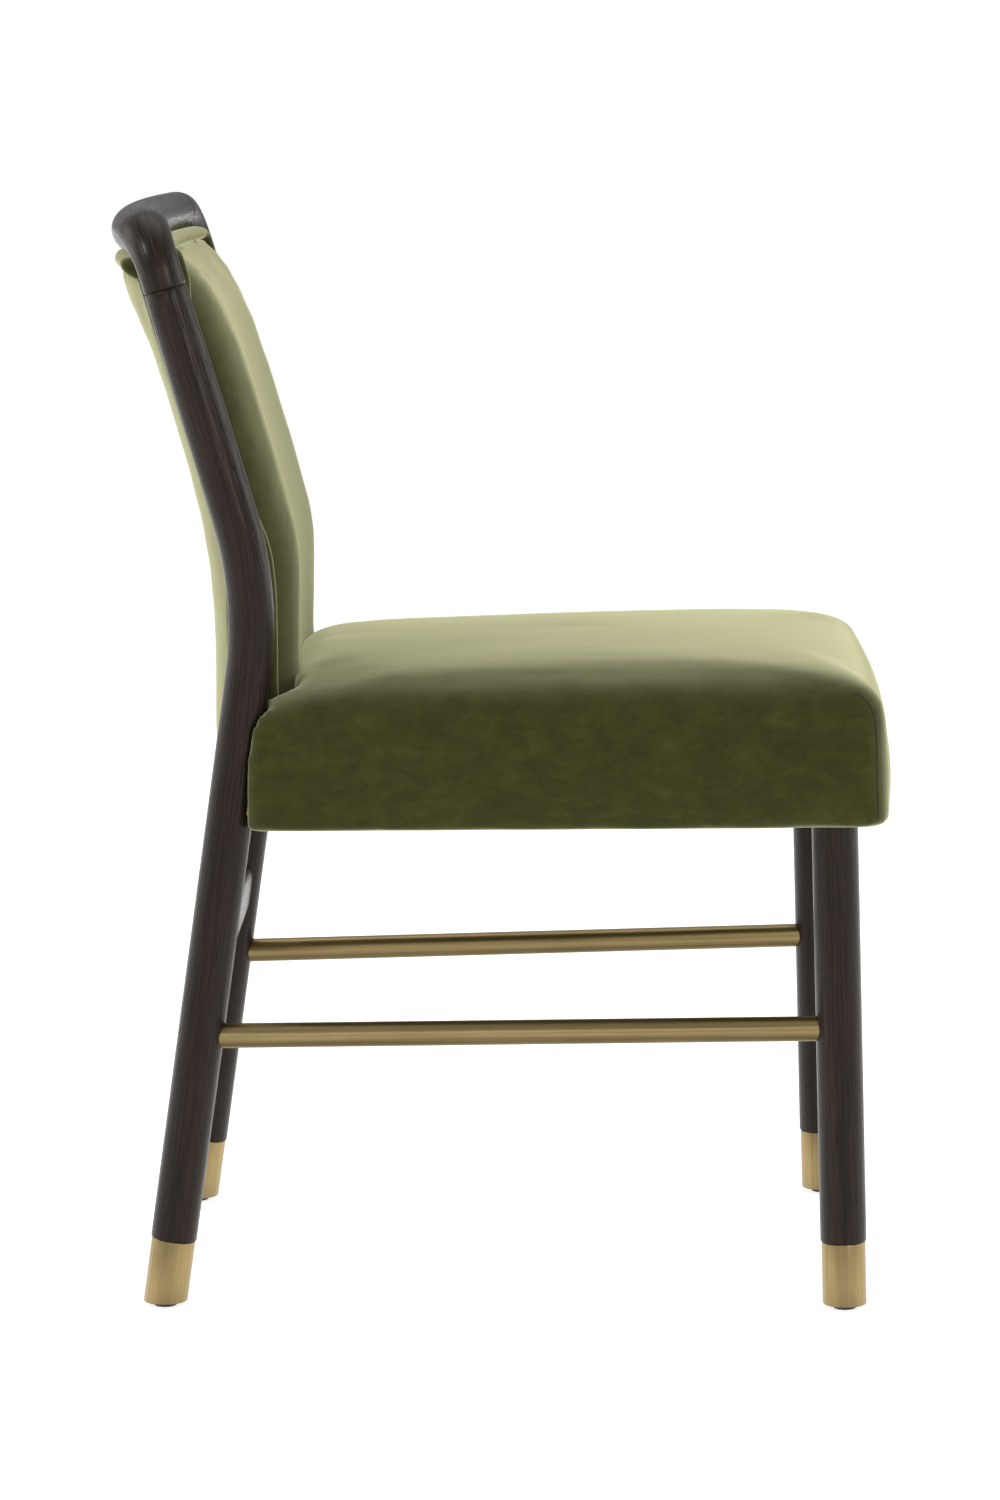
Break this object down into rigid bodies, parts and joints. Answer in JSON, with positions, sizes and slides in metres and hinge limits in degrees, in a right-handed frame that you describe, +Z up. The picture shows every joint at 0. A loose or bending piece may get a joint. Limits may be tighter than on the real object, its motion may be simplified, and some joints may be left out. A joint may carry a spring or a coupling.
{
  "type": "dining chair",
  "caption": "Dining chair with raked dark-wood legs, a padded seat, a framed padded back, side rods and metal foot sleeves.",
  "frame": {"origin": "on the floor, under the middle of the chair's bounding box", "axes": "+Z up; the chair faces -Y, so a sitter looks along -Y; X is across the chair, the sitter's right at -X"},
  "size_m": [0.493, 0.6122, 0.8587],
  "materials": {
    "dark_wood": "satin espresso stain, open grain",
    "brass": "satin brushed, lacquered",
    "black_plastic": "moulded matte black",
    "velvet": "moss green velvet, short pile",
    "beech": "plain sawn beech, hidden",
    "plywood": "bare plywood, hidden",
    "foam": "upholstery foam, hidden",
    "steel": "zinc plated, hidden",
    "lining": "black non-woven lining"
  },
  "bodies": {
    "root": {"back_front_pad": "velvet", "back_panel": "plywood", "back_rear_pad": "velvet", "back_roll_front": "velvet", "back_roll_rear": "velvet", "corner_block_left": "dark_wood", "corner_block_right": "dark_wood", "corner_brace_front_left": "beech", "corner_brace_front_right": "beech", "corner_brace_rear_left": "beech", "corner_brace_rear_right": "beech", "crest_dowel_left": "beech", "crest_dowel_right": "beech", "crest_rail": "dark_wood", "dust_cover": "lining", "ferrule_front_left": "brass", "ferrule_front_right": "brass", "ferrule_rear_left": "brass", "ferrule_rear_right": "brass", "front_leg_left": "dark_wood", "front_leg_right": "dark_wood", "front_rail_dowel_left": "beech", "front_rail_dowel_right": "beech", "glide_front_left": "black_plastic", "glide_front_right": "black_plastic", "glide_rear_left": "black_plastic", "glide_rear_right": "black_plastic", "leg_bolt_left": "steel", "leg_bolt_right": "steel", "leg_nut_left": "steel", "leg_nut_right": "steel", "panel_dowel_lower_left": "beech", "panel_dowel_lower_right": "beech", "panel_dowel_upper_left": "beech", "panel_dowel_upper_right": "beech", "post_dowel_left": "beech", "post_dowel_right": "beech", "rear_post_left": "dark_wood", "rear_post_right": "dark_wood", "rear_rail_dowel_left": "beech", "rear_rail_dowel_right": "beech", "rear_stretcher": "dark_wood", "rear_stretcher_dowel_left": "beech", "rear_stretcher_dowel_right": "beech", "seat_cushion": "velvet", "seat_deck": "plywood", "seat_foam": "foam", "seat_rail_front": "beech", "seat_rail_left": "beech", "seat_rail_rear": "beech", "seat_rail_right": "beech", "side_rail_dowel_left": "beech", "side_rail_dowel_right": "beech", "side_stretcher_left": "brass", "side_stretcher_right": "brass", "stretcher_spigot_front_left": "steel", "stretcher_spigot_front_right": "steel", "stretcher_spigot_rear_left": "steel", "stretcher_spigot_rear_right": "steel"}
  },
  "joints": []
}
